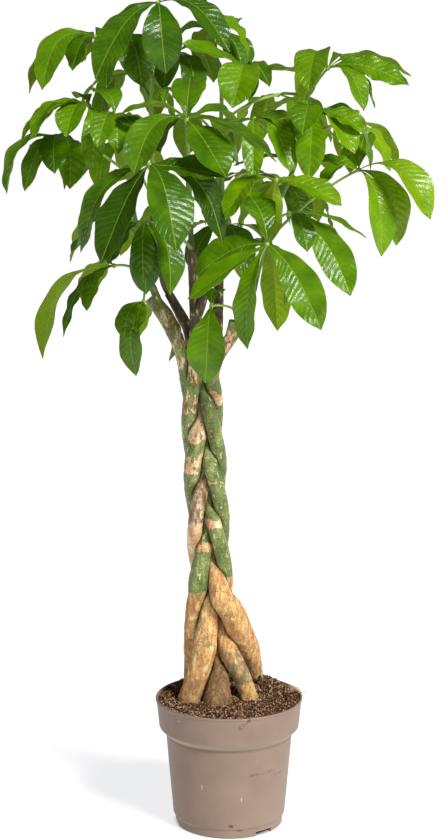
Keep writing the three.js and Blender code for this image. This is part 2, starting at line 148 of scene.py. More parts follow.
def leaf_skin(name, stops, vein, rib, roughness, specular, vein_share, relief, glow, through):
    """Living leaf. Above, a waxy cuticle over deep green, quilted between pale side veins, so
    that the light breaks into short bars; below, paler and matt, with the veins standing out.
    Some light comes through the blade. The net of small veins is drawn coarser than it is, so
    that it shows."""
    material, tree, place, tone = new_material(name)
    plan = node(tree, "SeparateXYZ", {0: node(tree, "UVMap", uv_map="veins")})
    mottle = node(tree, "TexNoise", {"Vector": place, "Scale": grain(22.22), "Detail": 4})
    mixed = node(tree, "Math", {0: mottle, 1: 0.5, 2: tone}, operation="MULTIPLY_ADD")
    level = node(tree, "Math", {0: mixed, 1: 0.25}, operation="SUBTRACT")
    blade = node(tree, "ValToRGB", {"Fac": level}, stops)
    drift = node(tree, "TexNoise", {"Vector": place, "Scale": grain(9.09), "Detail": 2})
    wander = node(tree, "Math", {0: drift, 1: 0.5, 2: plan.outputs["Y"]}, operation="MULTIPLY_ADD")
    to_vein = node(tree, "Math", {0: wander, 1: 0.5}, operation="PINGPONG")
    colour = layered(tree, blade, [
        (vein, to_vein, [(0.0, vein_share), (0.11, 0.0)]),
        (rib, plan.outputs["X"], [(0.04, 0.6), (0.08, 0.0)])])
    pillow = node(tree, "ValToRGB", {"Fac": to_vein}, [(0.0, 0.0), (0.12, 0.6), (0.5, 1.0)])
    pillow.color_ramp.interpolation = "EASE"
    mesh_work = node(tree, "TexVoronoi", {
        "Vector": place, "Scale": grain(3.333), "Randomness": 1.0})
    fine = node(tree, "TexNoise", {"Vector": place, "Scale": grain(2.381), "Detail": 3})
    height = node(tree, "Math", {0: fine, 1: 0.3, 2: pillow}, operation="MULTIPLY_ADD")
    height = node(tree, "Math", {0: mesh_work, 1: -0.25, 2: height}, operation="MULTIPLY_ADD")
    bump = node(tree, "Bump", {"Height": height, "Strength": 0.8, "Distance": relief})
    body = node(tree, "BsdfPrincipled", {
        "Base Color": colour, "Roughness": roughness, "IOR": 1.45,
        "Specular IOR Level": specular, "Normal": bump})
    light = node(tree, "MixRGB", {"Fac": glow, "Color1": colour, "Color2": "#b4d410"})
    behind = node(tree, "BsdfTranslucent", {"Color": light, "Normal": bump})
    surface = node(tree, "MixShader", {0: through, 1: body, 2: behind})
    node(tree, "OutputMaterial", {"Surface": surface})
    return material


def green_wood():
    """Green shoot and petiole: smooth, faintly waxy skin, browner where the shoot is old."""
    material, tree, place, tone = new_material("green_shoot_skin")
    mottle = node(tree, "TexNoise", {"Vector": place, "Scale": grain(8.333), "Detail": 3})
    level = node(tree, "Math", {0: mottle, 1: 0.3, 2: tone}, operation="MULTIPLY_ADD")
    colour = node(tree, "ValToRGB", {"Fac": level}, [
        (0.1, "#4a3a24"), (0.35, "#4f6a2c"), (0.75, "#7c9f3c"), (1.0, "#a8bf55")])
    bump = node(tree, "Bump", {"Height": mottle, "Strength": 0.5, "Distance": 0.0006})
    surface = node(tree, "BsdfPrincipled", {
        "Base Color": colour, "Roughness": 0.45, "IOR": 1.45, "Normal": bump})
    node(tree, "OutputMaterial", {"Surface": surface})
    return material


def bark_skin():
    """Young bark of a money tree: green and faintly waxy, with ragged tan cork and reddish
    edges; brown near the leaves. On the swollen legs it is ochre cork, streaked lengthways,
    with cream splashes, brown specks, grey-green lichen and dirt near the soil. Where the stems
    touch, the creases are painted near-black as painted shade."""
    material, tree, place, _ = new_material("money_tree_bark")
    drawn = node(tree, "Mapping", {"Vector": place, "Scale": (1, 1, 0.3)})
    share = {name: node(tree, "Attribute", attribute_name=name).outputs["Fac"]
             for name in ("tan", "leg", "grey", "crown", "dirt", "crease")}
    broad, streak, patchy, fine, speckle = [
        node(tree, "TexNoise", {
            "Vector": along, "Scale": grain(size), "Detail": detail, "Roughness": rough})
        for along, size, detail, rough in (
            (drawn, 12.5, 6, 0.5), (drawn, 4.762, 6, 0.65), (place, 18.18, 7, 0.7),
            (place, 1.786, 3, 0.5), (place, 2.632, 4, 0.75))]
    crown, tan, grey, dirt = [
        node(tree, "Math", {0: pattern, 1: weight, 2: share[name]}, operation="MULTIPLY_ADD")
        for name, pattern, weight in (
            ("crown", patchy, 0.8), ("tan", streak, 1.0), ("grey", patchy, 0.9),
            ("dirt", streak, 0.9))]
    mixed = node(tree, "MixRGB", {"Fac": 0.55, "Color1": broad, "Color2": speckle})
    green = node(tree, "ValToRGB", {"Fac": mixed}, [
        (0.34, "#36451a"), (0.46, "#5f6f35"), (0.56, "#87924f"), (0.68, "#bcbd80")])
    brown = node(tree, "ValToRGB", {"Fac": streak}, [
        (0.35, "#24120d"), (0.5, "#4d3323"), (0.65, "#7a6641")])
    cork = node(tree, "ValToRGB", {"Fac": mixed}, [
        (0.38, "#a5754a"), (0.48, "#d2a878"), (0.6, "#f0dfb8")])
    patch = node(tree, "ValToRGB", {"Fac": tan}, [(0.9, 0.0), (0.93, 1.0)])
    stem = layered(tree, green, [
        (brown, crown, [(0.75, 0.0), (0.95, 0.9)]),
        ("#e0dca6", streak, [(0.59, 0.0), (0.64, 0.85)]),
        ("#84502f", tan, [(0.87, 0.0), (0.9, 0.8)]),
        (cork, patch, None)])
    ochre = node(tree, "ValToRGB", {"Fac": streak}, [
        (0.32, "#946c3f"), (0.45, "#cfa165"), (0.57, "#e6b877"), (0.7, "#f5d69f")])
    leg = layered(tree, ochre, [
        ("#b5744a", broad, [(0.5, 0.0), (0.6, 0.6)]),
        ("#7e7750", patchy, [(0.36, 0.6), (0.44, 0.0)]),
        ("#f3e4ac", streak, [(0.57, 0.0), (0.63, 0.8)]),
        ("#3d2614", speckle, [(0.37, 0.85), (0.42, 0.0)]),
        ("#66694f", grey, [(0.8, 0.0), (0.92, 0.8)])])
    colour = layered(tree, stem, [
        (leg, share["leg"], None),
        ("#432a1b", dirt, [(0.78, 0.0), (0.95, 0.8)]),
        # painted shade: near-black where the stems touch
        ("#1d140c", share["crease"], None)])
    rough = node(tree, "ValToRGB", {"Fac": share["leg"]}, [(0.0, 0.48), (1.0, 0.85)])
    relief = streak
    for pattern, weight in ((patch, 0.3), (fine, 0.4), (speckle, share["leg"])):
        relief = node(tree, "Math", {0: pattern, 1: weight, 2: relief}, operation="MULTIPLY_ADD")
    bump = node(tree, "Bump", {"Height": relief, "Strength": 0.9, "Distance": 0.0018})
    surface = node(tree, "BsdfPrincipled", {
        "Base Color": colour, "Roughness": rough, "IOR": 1.45, "Normal": bump})
    node(tree, "OutputMaterial", {"Surface": surface})
    return material


def potting_soil(name, stops, grain_size):
    """Peat-based potting soil: matt, dark and crumbly, every crumb a little different."""
    material, tree, place, tone = new_material(name)
    fine = node(tree, "TexNoise", {
        "Vector": place, "Scale": grain(grain_size), "Detail": 6, "Roughness": 0.7})
    level = node(tree, "Math", {0: fine, 1: 0.9, 2: tone}, operation="MULTIPLY_ADD")
    colour = node(tree, "ValToRGB", {"Fac": level}, stops)
    bump = node(tree, "Bump", {"Height": fine, "Strength": 1.0, "Distance": 0.0015})
    surface = node(tree, "BsdfPrincipled", {
        "Base Color": colour, "Roughness": 0.95, "Specular IOR Level": 0.2, "Normal": bump})
    node(tree, "OutputMaterial", {"Surface": surface})
    return material


# Marks on the pot: middle and half sizes in millimetres, strength and colour.
POT_MARKS = [
    ((40, -84, 95), (20, 14, 1.9), 0.5, "#65492f"),
    ((56, -66, 96), (9, 10, 3.6), 0.4, "#6b5039"),
    ((72, -50, 89), (16, 16, 1.8), 0.45, "#65492f"),
    ((27, -99, 182), (4.5, 8, 4), 0.75, "#56402f"),
    ((21, -99, 177), (4.5, 8, 3.5), 0.75, "#56402f"),
    ((15, -99, 171), (3.5, 8, 3.5), 0.6, "#5f4a39"),
    ((-70, -74, 172), (2.4, 5, 1.6), 0.8, "#e6d8c6"),
    ((3, -80, 20), (6, 8, 3), 0.85, "#5c422d"),
    ((15, -79, 12), (7, 8, 2.8), 0.8, "#5c422d"),
    ((17, -82, 60), (1.2, 8, 4), 0.7, "#d8c9b8"),
    ((-38, -76, 75), (1.1, 8, 5.5), 0.6, "#cbbcab"),
    ((-74, -52, 95), (14, 14, 22), 0.16, "#8b7764"),
    ((60, 62, 150), (10, 14, 5), 0.3, "#6b5340"),
]
# The slope under the band, painted paler as painted light from below, and the painted shade of the
# dark crease below it: height and strength.
POT_SLOPE_PAINTED_LIGHT = [(133.5, 0.0), (134.5, 0.45), (141.5, 0.45), (143.5, 0.0)]
POT_CREASE_PAINTED_SHADE = [(132.5, 0.0), (133.3, 0.95), (134.2, 0.0)]
# The floor's light: distance from the pot's middle, and how much of it is on there. It is off
# under the pot, as painted shade beneath the pot's foot.
FLOOR_GLOW_PAINTED_SHADE = [(72, 0.0), (79, 1.0)]


def in_metres(stops):
    return [(place * MM, amount) for place, amount in stops]


def pot_plastic():
    """Moulded polypropylene in warm taupe: satin, faintly clouded, with specks of soil dust,
    scratches and rubbed marks. The slope under the band is painted paler, as painted light from
    below, and the crease below that is painted dark, as painted shade. The scratches are drawn
    coarser than they are, so that they show."""
    material, tree, place, _ = new_material("moulded_polypropylene")
    height = node(tree, "SeparateXYZ", {0: place}).outputs["Z"]
    cloud = node(tree, "TexNoise", {"Vector": place, "Scale": grain(45.45), "Detail": 5})
    taupe = node(tree, "ValToRGB", {"Fac": cloud}, [
        (0.3, "#887466"), (0.5, "#8d796b"), (0.7, "#927d6f")])
    smear = node(tree, "TexNoise", {"Vector": place, "Scale": grain(3.846), "Detail": 4})
    speck = node(tree, "TexVoronoi", {
        "Vector": place, "Scale": grain(13.33), "Randomness": 1.0})
    layers = [("#7b6754", speck, [(0.03, 0.5), (0.07, 0.0)])]
    for middle, half, strength, tint in POT_MARKS:
        near = node(tree, "Mapping", {
            "Vector": place, "Location": [c * MM for c in middle],
            "Scale": [size * MM for size in half]}, vector_type="TEXTURE")
        away = node(tree, "VectorMath", {0: near}, operation="LENGTH").outputs["Value"]
        faded = node(tree, "Math", {0: away, 1: 0.3, 2: smear}, operation="MULTIPLY_ADD")
        layers.append((tint, faded, [(0.6, strength), (0.78, 0.0)]))
    # Painted light on the slope under the band, and painted shade in the crease below it.
    layers += [("#b5a292", height, in_metres(POT_SLOPE_PAINTED_LIGHT)),
               ("#4a3b30", height, in_metres(POT_CREASE_PAINTED_SHADE))]
    colour = layered(tree, taupe, layers)
    drawn = node(tree, "Mapping", {"Vector": place, "Scale": (1, 1, 6)})
    scratch = node(tree, "TexNoise", {"Vector": drawn, "Scale": grain(6.25), "Detail": 3})
    rough = node(tree, "ValToRGB", {"Fac": scratch}, [(0.3, 0.42), (0.7, 0.58)])
    bump = node(tree, "Bump", {"Height": scratch, "Strength": 0.12, "Distance": 0.0004})
    surface = node(tree, "BsdfPrincipled", {
        "Base Color": colour, "Roughness": rough, "Specular IOR Level": 0.2,
        "Normal": bump})
    node(tree, "OutputMaterial", {"Surface": surface})
    return material


def light_table():
    """Matt acrylic lit from below, so that shadows on it stay pale; under the pot it is not lit,
    as painted shade beneath the pot's foot.
    """
    material, tree, place, _ = new_material("matt_acrylic_light_table")
    cloud = node(tree, "TexNoise", {"Vector": place, "Scale": grain(333.3), "Detail": 2})
    tint = node(tree, "MixRGB", {"Fac": cloud, "Color1": "#aeaba8", "Color2": "#b2afac"})
    away = node(tree, "VectorMath", {0: place}, operation="LENGTH").outputs["Value"]
    # The glow is off under the pot's foot: painted shade there, seen through the drain grooves and
    # along the pot's base.
    lit = node(tree, "ValToRGB", {"Fac": away}, in_metres(FLOOR_GLOW_PAINTED_SHADE))
    glow = node(tree, "MixRGB", {"Fac": lit, "Color1": "#000000", "Color2": "#fbfcff"})
    surface = node(tree, "BsdfPrincipled", {
        "Base Color": tint, "Roughness": 0.9, "Specular IOR Level": 0.1,
        "Emission Color": glow, "Emission Strength": 0.81})
    node(tree, "OutputMaterial", {"Surface": surface})
    return material


LEAF_ABOVE = leaf_skin(
    "waxy_leaf_upper_side",
    [(0.0, "#1c3400"), (0.35, "#3c6601"), (0.65, "#6c9a02"), (1.0, "#a8c60c")],
    vein="#8fae22", rib="#9db944", roughness=0.27, specular=0.45, vein_share=0.12,
    relief=0.0008, glow=0.5, through=0.28)
LEAF_BELOW = leaf_skin(
    "matt_leaf_under_side",
    [(0.0, "#557c08"), (0.35, "#78a012"), (0.65, "#97b81a"), (1.0, "#b5cf2c")],
    vein="#b4c84a", rib="#c0d05c", roughness=0.6, specular=0.25, vein_share=0.3,
    relief=0.0007, glow=0.6, through=0.45)
SHOOT_SKIN = green_wood()
BARK = bark_skin()
SOIL_BODY = potting_soil(
    "peat_potting_soil", [(0.25, "#1c110a"), (0.5, "#3c2718"), (0.8, "#6a4a2e")], grain_size=6)
SOIL_CRUMB = potting_soil(
    "soil_crumbs", [(0.3, "#1f1209"), (0.55, "#52341f"), (0.8, "#8f6a4b"), (1.0, "#cda788")],
    grain_size=3)
STRAW = potting_soil(
    "straw_fibres", [(0.3, "#4a3020"), (0.65, "#a27d56"), (1.0, "#dfc8a0")], grain_size=2)
POT_PLASTIC = pot_plastic()
LIGHT_TABLE = light_table()
light_studio()


# ---- Making shapes ----------------------------------------------------------------------

def deselect_all():
    for other in bpy.context.selected_objects:
        other.select_set(False)


def points_of(piece):
    """A mesh's points as an array, in metres."""
    flat = np.empty(3 * len(piece.data.vertices))
    piece.data.vertices.foreach_get("co", flat)
    return flat.reshape(-1, 3)


def move_points(piece, places):
    """Puts a mesh's points at places given in millimetres."""
    piece.data.vertices.foreach_set("co", (places * MM).ravel())
    piece.data.update()


def paint(piece, name, values):
    """Stores one number for each point, for a material to read."""
    layer = piece.data.attributes.get(name) or piece.data.attributes.new(name, "FLOAT", "POINT")
    layer.data.foreach_set("value", np.broadcast_to(values, len(piece.data.vertices)).copy())


def close_up(piece):
    """Welds a rolled grid along its seam, closes its ends and turns its faces outwards."""
    bpy.context.view_layer.objects.active = piece
    bpy.ops.object.mode_set(mode="EDIT")
    bpy.ops.mesh.select_all(action="SELECT")
    bpy.ops.mesh.remove_doubles(threshold=WELD)
    bpy.ops.mesh.fill_holes(sides=0)
    bpy.ops.mesh.normals_make_consistent(inside=False)
    bpy.ops.object.mode_set(mode="OBJECT")


def joined(name, pieces):
    """Makes one piece of several and names it."""
    deselect_all()
    for piece in pieces:
        piece.select_set(True)
    bpy.context.view_layer.objects.active = pieces[0]
    bpy.ops.object.join()
    whole = bpy.context.object
    whole.name = whole.data.name = name
    return whole


def smooth_by_angle(piece, degrees):
    deselect_all()
    piece.select_set(True)
    bpy.context.view_layer.objects.active = piece
    bpy.ops.object.shade_smooth_by_angle(angle=math.radians(degrees))


def spline(rows, count):
    """Even steps along the smooth curve through rows: x, y, z, and radius where given."""
    rows = np.array(rows, float)
    far = np.linalg.norm(np.diff(rows[:, :3], axis=0), axis=1)
    at = np.concatenate([[0], np.cumsum(far)])
    slope = np.gradient(rows, at, axis=0)
    t = np.linspace(0, at[-1], count)
    i = np.clip(np.searchsorted(at, t, side="right") - 1, 0, len(rows) - 2)
    gap = (at[i + 1] - at[i])[:, None]
    s = (t - at[i])[:, None] / gap
    return ((2 * s ** 3 - 3 * s ** 2 + 1) * rows[i] + (s ** 3 - 2 * s ** 2 + s) * gap * slope[i]
            + (3 * s ** 2 - 2 * s ** 3) * rows[i + 1] + (s ** 3 - s ** 2) * gap * slope[i + 1])


def unit(vectors):
    return vectors / np.linalg.norm(vectors, axis=-1, keepdims=True)


def frames(path):
    """Along a path: its direction, and two crossways directions that don't twist."""
    along = unit(np.gradient(path, axis=0))
    across = np.empty_like(along)
    last = np.array([0.0, 1, 0]) if abs(along[0, 0]) > 0.9 else np.array([1.0, 0, 0])
    for i, direction in enumerate(along):
        last = unit(last - direction * (last @ direction))
        across[i] = last
    return along, across, np.cross(along, across)


def tube(name, rows, sides, steps, swell=None):
    """A round closed piece along the smooth curve through rows. swell gives what is added to
    its radius at each turn and ring."""
    rows = spline(rows, steps + 1)
    _, across, over = frames(rows[:, :3])
    bpy.ops.mesh.primitive_grid_add(x_subdivisions=sides, y_subdivisions=steps, size=1)
    piece = bpy.context.object
    piece.name = name
    flat = points_of(piece)
    turn = (flat[:, 0] + 0.5) * TAU
    ring = np.rint((flat[:, 1] + 0.5) * steps).astype(int)
    spoke = across[ring] * np.cos(turn)[:, None] + over[ring] * np.sin(turn)[:, None]
    radius = rows[ring, 3]
    if swell:
        radius = radius + swell(rows[ring, :3] + spoke * radius[:, None], ring / steps)
    move_points(piece, rows[ring, :3] + spoke * radius[:, None])
    close_up(piece)
    return piece


def lumps(places, size, seed=0.0):
    """Smooth noise at places in millimetres, about -1 to 1, with lumps of that size."""
    return np.array([noise.noise(Vector(p) / size + Vector((seed, 0, 0))) for p in places])


def turned(name, outline, sides):
    """A piece turned on a lathe: one ring drawn out from corner to corner of its outline."""
    radius, height = outline[0]
    bpy.ops.mesh.primitive_circle_add(
        vertices=sides, radius=radius * MM, location=(0, 0, height * MM))
    piece = bpy.context.object
    piece.name = name
    bpy.ops.object.transform_apply(location=True)
    bpy.ops.object.mode_set(mode="EDIT")
    bpy.ops.mesh.select_all(action="SELECT")
    for (near, low), (far, high) in zip(outline, outline[1:]):
        bpy.ops.mesh.extrude_region_move(
            TRANSFORM_OT_translate={"value": (0, 0, (high - low) * MM)})
        bpy.ops.transform.resize(
            value=(far / near, far / near, 1), center_override=(0, 0, high * MM))
    bpy.ops.mesh.select_all(action="SELECT")
    bpy.ops.mesh.fill_holes(sides=0)
    bpy.ops.mesh.normals_make_consistent(inside=False)
    bpy.ops.object.mode_set(mode="OBJECT")
    return piece


def rounded(corners, reach, steps=3):
    """An outline with each inner corner drawn as a small arc, on less than half of a side."""
    corners = [np.array(corner, float) for corner in corners]
    line = [corners[0]]
    for before, corner, after in zip(corners, corners[1:], corners[2:]):
        arms = []
        for other in (before, after):
            length = np.linalg.norm(other - corner)
            arms.append(corner + (other - corner) * min(reach, 0.45 * length) / length)
        for step in range(steps + 1):
            s = step / steps
            line.append((1 - s) ** 2 * arms[0] + 2 * s * (1 - s) * corner + s ** 2 * arms[1])
    return line + [corners[-1]]


def cut_out(piece, tool):
    """Takes a closed shape out of a piece, and removes the shape."""
    cut = piece.modifiers.new("cut", "BOOLEAN")
    cut.operation = "DIFFERENCE"
    cut.solver = "EXACT"
    cut.object = tool
    bpy.context.view_layer.objects.active = piece
    bpy.ops.object.modifier_apply(modifier="cut")
    bpy.data.objects.remove(tool)


def give(piece, material, slot, *nodes):
    """Dresses a piece and says what it rides on, what it is made of and what it stands for."""
    if material:
        piece.data.materials.clear()
        piece.data.materials.append(material)
    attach(piece, "root")
    if nodes:
        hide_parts(*nodes)


# ---- Pot --------------------------------------------------------------------------------

POT_SIDES = 144
POT_OUTSIDE = [
    (76.4, 0), (77.2, 12), (80, 15), (90.2, 133), (93.6, 137.4), (99.7, 143), (103.6, 181),
    (104.6, 181.8), (105, 183.2), (104.4, 184.6), (103, 185)]
POT_INSIDE = [(101.6, 184.6), (101, 182), (97.2, 145.4), (87.8, 134.5), (77.6, 15), (73.5, 11)]
POT_FLOOR = {"ring": 40, "top": 11}  # the innermost ring of the floor, and its thickness
POT_ROUNDING = 1.6
DRAIN = {"count": 3, "angle": -50, "width": 28, "height": 6.5, "inner": 46, "outer": 105,
         "hole": 6, "at": 62, "depth": 50}


def make_pot():
    """The pot's wall is turned in one go, then the drain grooves and holes are cut."""
    ring = POT_FLOOR["ring"]
    corners = [(ring, 0), *POT_OUTSIDE, *POT_INSIDE, (ring, POT_FLOOR["top"])]
    pot = turned("nursery_pot", rounded(corners, POT_ROUNDING), POT_SIDES)
    for i in range(DRAIN["count"]):
        angle = math.radians(DRAIN["angle"] + 360 * i / DRAIN["count"])
        way = Vector((math.cos(angle), math.sin(angle), 0))
        length = DRAIN["outer"] - DRAIN["inner"]
        bpy.ops.mesh.primitive_cube_add(
            size=1, location=way * (DRAIN["inner"] + length / 2) * MM, rotation=(0, 0, angle),
            scale=(length * MM, DRAIN["width"] * MM, 2 * DRAIN["height"] * MM))
        cut_out(pot, bpy.context.object)
        bpy.ops.mesh.primitive_cylinder_add(
            vertices=24, radius=DRAIN["hole"] * MM, depth=DRAIN["depth"] * MM,
            location=way * DRAIN["at"] * MM)
        cut_out(pot, bpy.context.object)
    smooth_by_angle(pot, degrees=35)
    give(pot, POT_PLASTIC, "pot_plastic", "pot")


# ---- Soil -------------------------------------------------------------------------------

SOIL = {"level": 182, "radius": 100.2, "lump": 1.1, "calm": 0.25, "border": 8, "middle": 0.001}
HEAPS = [{"x": 0, "y": 25, "height": 7, "reach": 55},
         {"x": 48, "y": 66, "height": 9, "reach": 34},
         {"x": -48, "y": 66, "height": 9, "reach": 34},
         {"x": 88, "y": 6, "height": 9, "reach": 11}]
SOIL_SPOKES = 180
SOIL_RINGS = 64
SOIL_SIDES = [(96.7, 145.7), (87.3, 134.8), (77.1, 15.3), (73, 11.4), (SOIL["middle"], 11.4)]
CLODS = [(7.0, 0.0, 1.8), (2.6, 9.0, 1.2)]  # lumps in the soil's top: size, seed and height

# Loose crumbs and fibres: how far they stay from the edge and stand up from the soil, and the
# ranges that their sizes and tones are drawn from.
CRUMBS = {"count": 5200, "edge": 1, "lift": 0.8, "rough": 0.35, "tones": (-0.15, 0.65),
          "sizes": [(0.4, 1), (0.5, 1.3), (0.8, 2.6)], "scale": (0.7, 1.3)}
FIBRES = {"count": 280, "edge": 6, "lift": 1.6, "steep": 0.5, "tones": (-0.15, 0.7),
          "sizes": [(0.3, 1.1), (0.2, 1.0), (0.7, 1.6)]}
FIBRE = [(-6, 0, 0, 0.2), (-2, 0.5, 0.4, 0.3), (2, 0.3, 0.5, 0.28), (6, -0.5, 0, 0.15)]

# Fibres that hang over the lip at the right: their way out of the soil as distance, height and
# radius, then for each how far out it ends, how far it drops, and its angle in radians.
HANGING_WAY = [(84, 190, 0.5), (95, 194, 0.45), (102, 190, 0.4)]
HANGING = [(109, 8, 0.02), (112, 2, 0.08), (108, 12, 0.12), (111, -5, -0.04), (107, 4, 0.17)]
HANGING_TIP = 0.2
# The stub of a root beside the rear right foot: x, y, z and radius.
ROOT_STUB = [(40, 46, 207, 2.0), (45, 37, 201, 2.3), (47, 26, 194, 2.1), (48, 17, 184, 1.5)]


def hump(form, x, y):
    away = (x - form["x"]) ** 2 + (y - form["y"]) ** 2
    return form["height"] * np.exp(-away / form["reach"] ** 2)


def soil_level(x, y):
    """Height of the soil's surface, with the same lumps as the part's own."""
    wave = np.sin(x * 0.19 + 1) * np.cos(y * 0.23) + np.sin(x * 0.41 - y * 0.33)
    inwards = np.clip((SOIL["radius"] - np.hypot(x, y)) / SOIL["border"], SOIL["calm"], 1)
    lift = SOIL["lump"] * wave + sum(hump(heap, x, y) for heap in HEAPS)
    return SOIL["level"] + lift * inwards


def make_soil():
    """Soil: an uneven top of fine rings, and plain hidden sides that follow the pot's wall."""
    reach = np.concatenate([
        np.linspace(SOIL["middle"], SOIL["radius"], SOIL_RINGS),
        [radius for radius, _ in SOIL_SIDES]])
    bpy.ops.mesh.primitive_grid_add(
        x_subdivisions=SOIL_SPOKES, y_subdivisions=len(reach) - 1, size=1)
    soil = bpy.context.object
    flat = points_of(soil)
    turn = (flat[:, 0] + 0.5) * TAU
    ring = np.rint((flat[:, 1] + 0.5) * (len(reach) - 1)).astype(int)
    x, y = reach[ring] * np.cos(turn), reach[ring] * np.sin(turn)
    z = soil_level(x, y)
    top = np.stack([x, y, z], 1)
    z = z + sum(rise * lumps(top, size, seed) for size, seed, rise in CLODS)
    low = ring >= SOIL_RINGS
    z[low] = np.array([height for _, height in SOIL_SIDES])[ring[low] - SOIL_RINGS]
    move_points(soil, np.stack([x, y, z], 1))
    paint(soil, "tone", 0.1)
    close_up(soil)
    smooth_by_angle(soil, degrees=60)
    soil.name = "potting_soil"
    give(soil, SOIL_BODY, "potting_soil", "soil")


def scattered(name, model, kind, dice, put_down):
    """Copies of one small model, as one piece. The model's unit is a millimetre, and put_down
    gives each copy's turn, size and place."""
    shape = points_of(model)
    faces = [tuple(face.vertices) for face in model.data.polygons]
    points, polygons, tone = [], [], []
    for i in range(kind["count"]):
        turn, size, place = put_down()
        points.append((shape * size) @ np.array(turn).T + place)
        polygons += [tuple(v + i * len(shape) for v in face) for face in faces]
        tone.append(np.full(len(shape), dice.uniform(*kind["tones"])))
    bpy.data.objects.remove(model)
    mesh = bpy.data.meshes.new(name)
    mesh.from_pydata(np.concatenate(points) * MM, [], polygons)
    piece = bpy.data.objects.new(name, mesh)
    bpy.context.scene.collection.objects.link(piece)
    paint(piece, "tone", np.concatenate(tone))
    return piece


def random_place(dice, kind):
    """A place just above the soil, spread evenly over it."""
    reach = (SOIL["radius"] - kind["edge"]) * math.sqrt(dice.random())
    angle = dice.uniform(0, TAU)
    x, y = reach * math.cos(angle), reach * math.sin(angle)
    return np.array([x, y, float(soil_level(x, y)) + kind["lift"]])


def random_sizes(dice, kind):
    return np.array([dice.uniform(*span) for span in kind["sizes"]])


def random_turn(dice):
    """The turn that brings a random direction upright."""
    way = Vector([dice.gauss(0, 1) for _ in range(3)]).normalized()
    return way.rotation_difference(Vector((0, 0, 1))).to_matrix()


def make_crumbs():
    """Loose crumbs and shreds of bark on the soil."""
    dice = random.Random(11)
    bpy.ops.mesh.primitive_ico_sphere_add(subdivisions=1, radius=1)
    model = bpy.context.object
    shape = points_of(model)
    shape *= 1 + CRUMBS["rough"] * np.array([[dice.uniform(-1, 1)] for _ in shape])
    model.data.vertices.foreach_set("co", shape.ravel())

    def put_down():
        place = random_place(dice, CRUMBS)
        size = random_sizes(dice, CRUMBS) * dice.uniform(*CRUMBS["scale"])
        return random_turn(dice), size, place

    crumbs = scattered("soil_crumbs", model, CRUMBS, dice, put_down)
    smooth_by_angle(crumbs, degrees=12)
    give(crumbs, SOIL_CRUMB, "potting_soil")


def make_straw():
    """Straw and root fibres: short bent threads that lie nearly flat on the soil, a few that
    hang over the lip, and the stub of a root."""
    dice = random.Random(5)
    model = tube("straw", FIBRE, sides=5, steps=6)
    model.data.vertices.foreach_set("co", (points_of(model) / MM).ravel())

    def put_down():
        place = random_place(dice, FIBRES)
        lie = Vector([dice.gauss(0, spread) for spread in (1, 1, FIBRES["steep"])]).normalized()
        turn = Vector((1, 0, 0)).rotation_difference(lie).to_matrix()
        return turn, random_sizes(dice, FIBRES), place

    loose = [scattered("straw_fibres", model, FIBRES, dice, put_down)]
    for reach, drop, turn in HANGING:
        way = np.array([math.cos(turn), math.sin(turn), 0])
        tip = (reach, HANGING_WAY[-1][1] - drop, HANGING_TIP)
        rows = [(*(way * far + (0, 0, height)), thick)
                for far, height, thick in (*HANGING_WAY, tip)]
        fibre = tube("hanging_fibre", rows, 5, 12, lambda places, _: 0.1 * lumps(places, 2.0))
        paint(fibre, "tone", dice.uniform(0, 0.7))
        loose.append(fibre)
    stub = tube("root_stub", ROOT_STUB, 9, 16, lambda places, _: 0.3 * lumps(places, 3.0))
    paint(stub, "tone", -0.15)
    straw = joined("straw_fibres", [*loose, stub])
    smooth_by_angle(straw, degrees=60)
    give(straw, STRAW, "potting_soil")


# ---- Woody stems ------------------------------------------------------------------------

# Seen from above, each strand runs in a figure of eight. Its widths and depth are half sizes,
# and its axis leans to the left by a share of the height.
BRAID = {"strands": 5, "pitch": 415, "crossing": 634, "top": 650, "bottom": 335,
         "wide_low": 21, "wide_high": 19, "depth": 18, "axis": -24.5, "lean": 0.05,
         "radius": 9.6, "steps": 14}

